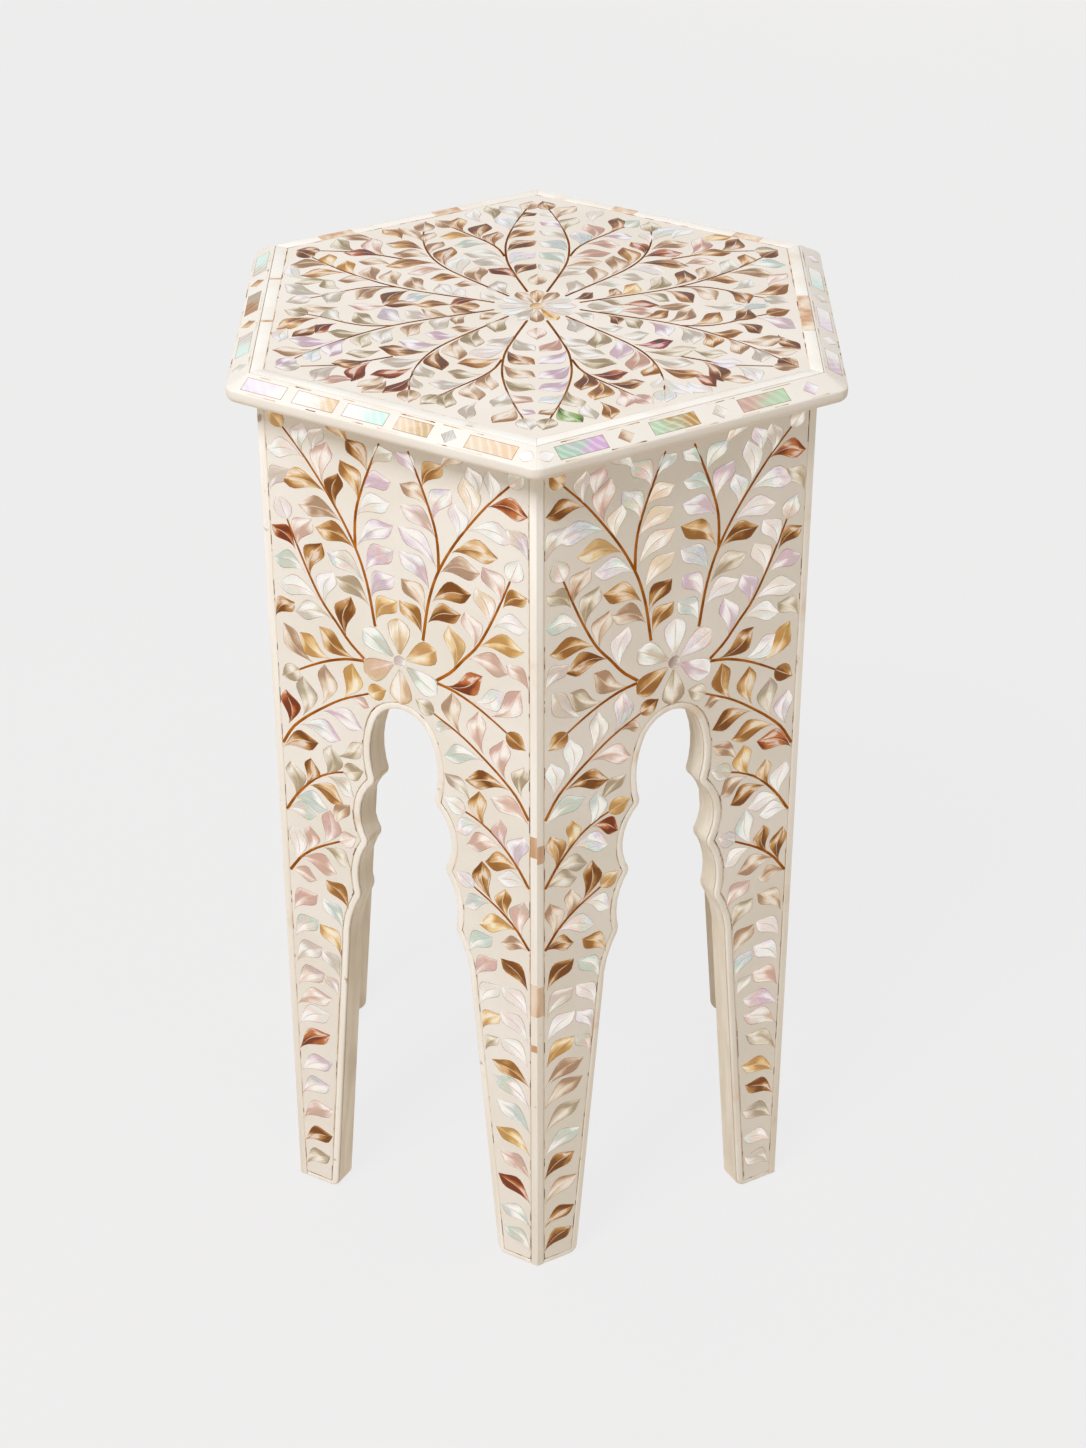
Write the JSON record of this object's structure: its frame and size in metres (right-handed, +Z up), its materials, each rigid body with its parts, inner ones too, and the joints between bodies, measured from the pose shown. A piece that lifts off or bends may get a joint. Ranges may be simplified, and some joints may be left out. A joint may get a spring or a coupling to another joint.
{
  "type": "inlaid side table",
  "caption": "Hexagonal side table with a bevelled top on a panelled body pierced by scalloped arches, faced in ivory resin with mother-of-pearl leaves and bone edging.",
  "frame": {"origin": "on the floor under the middle of the table", "axes": "+Z up, one corner of the hexagon towards -Y, which is the front, and two flat sides facing +X and -X"},
  "size_m": [0.3334, 0.3822, 0.56],
  "materials": {
    "ivory_resin": "polished",
    "bone": "polished",
    "inlaid_rim": "polished",
    "lacquered_core": "cream lacquer",
    "bare_wood": "sawn",
    "steel": "bright"
  },
  "bodies": {
    "root": {"top_board": "lacquered_core", "top_inlay_field": "ivory_resin", "top_stringing_right": "bone", "top_stringing_back_right": "bone", "top_stringing_back_left": "bone", "top_stringing_left": "bone", "top_stringing_front_left": "bone", "top_stringing_front_right": "bone", "top_rim_right": "inlaid_rim", "top_rim_back_right": "inlaid_rim", "top_rim_back_left": "inlaid_rim", "top_rim_left": "inlaid_rim", "top_rim_front_left": "inlaid_rim", "top_rim_front_right": "inlaid_rim", "side_panel_right": "lacquered_core", "side_panel_back_right": "lacquered_core", "side_panel_back_left": "lacquered_core", "side_panel_left": "lacquered_core", "side_panel_front_left": "lacquered_core", "side_panel_front_right": "lacquered_core", "side_inlay_field_right": "ivory_resin", "side_inlay_field_back_right": "ivory_resin", "side_inlay_field_back_left": "ivory_resin", "side_inlay_field_left": "ivory_resin", "side_inlay_field_front_left": "ivory_resin", "side_inlay_field_front_right": "ivory_resin", "arch_edging_right": "bone", "arch_edging_back_right": "bone", "arch_edging_back_left": "bone", "arch_edging_left": "bone", "arch_edging_front_left": "bone", "arch_edging_front_right": "bone", "left_upright_strip_right": "bone", "left_upright_strip_back_right": "bone", "left_upright_strip_back_left": "bone", "left_upright_strip_left": "bone", "left_upright_strip_front_left": "bone", "left_upright_strip_front_right": "bone", "right_upright_strip_right": "bone", "right_upright_strip_back_right": "bone", "right_upright_strip_back_left": "bone", "right_upright_strip_left": "bone", "right_upright_strip_front_left": "bone", "right_upright_strip_front_right": "bone", "corner_block_back_right": "bare_wood", "corner_block_back": "bare_wood", "corner_block_back_left": "bare_wood", "corner_block_front_left": "bare_wood", "corner_block_front": "bare_wood", "corner_block_front_right": "bare_wood", "top_screw_back_right": "steel", "top_screw_back": "steel", "top_screw_back_left": "steel", "top_screw_front_left": "steel", "top_screw_front": "steel", "top_screw_front_right": "steel"}
  },
  "joints": []
}
